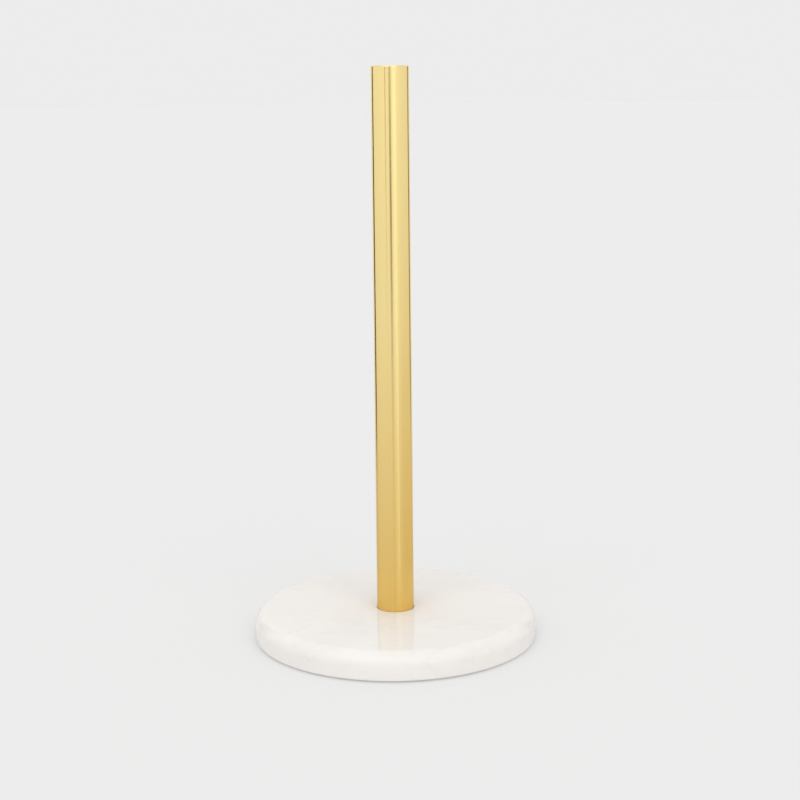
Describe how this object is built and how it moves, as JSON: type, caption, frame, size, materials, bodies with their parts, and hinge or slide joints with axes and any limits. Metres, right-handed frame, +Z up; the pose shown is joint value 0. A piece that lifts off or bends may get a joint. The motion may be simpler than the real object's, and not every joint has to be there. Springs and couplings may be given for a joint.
{
  "type": "paper towel holder",
  "caption": "Upright paper towel holder: a straight round brass post with a flat closed top, bolted to a thick round marble base with a soft rounded edge.",
  "frame": {"origin": "centre of the footprint, on the surface that the four feet stand on", "axes": "+Z up along the post's axis; -Y to the front, +X to the right seen from the front; the outside is the same all round +Z"},
  "size_m": [0.152, 0.152, 0.306],
  "materials": {
    "marble": "polished white marble with faint grey-beige clouding",
    "brass": "mirror-polished, lacquered",
    "zinc_steel": "bright zinc plating",
    "nylon": "natural, translucent white",
    "foot_rubber": "matte charcoal"
  },
  "bodies": {
    "root": {"base_disc": "marble", "post_tube": "brass", "top_cap": "brass", "foot_plug": "zinc_steel", "seat_washer": "nylon", "clamp_bolt": "zinc_steel", "flat_washer": "zinc_steel", "spring_washer": "zinc_steel", "foot_front_right": "foot_rubber", "foot_back_right": "foot_rubber", "foot_back_left": "foot_rubber", "foot_front_left": "foot_rubber"}
  },
  "joints": []
}
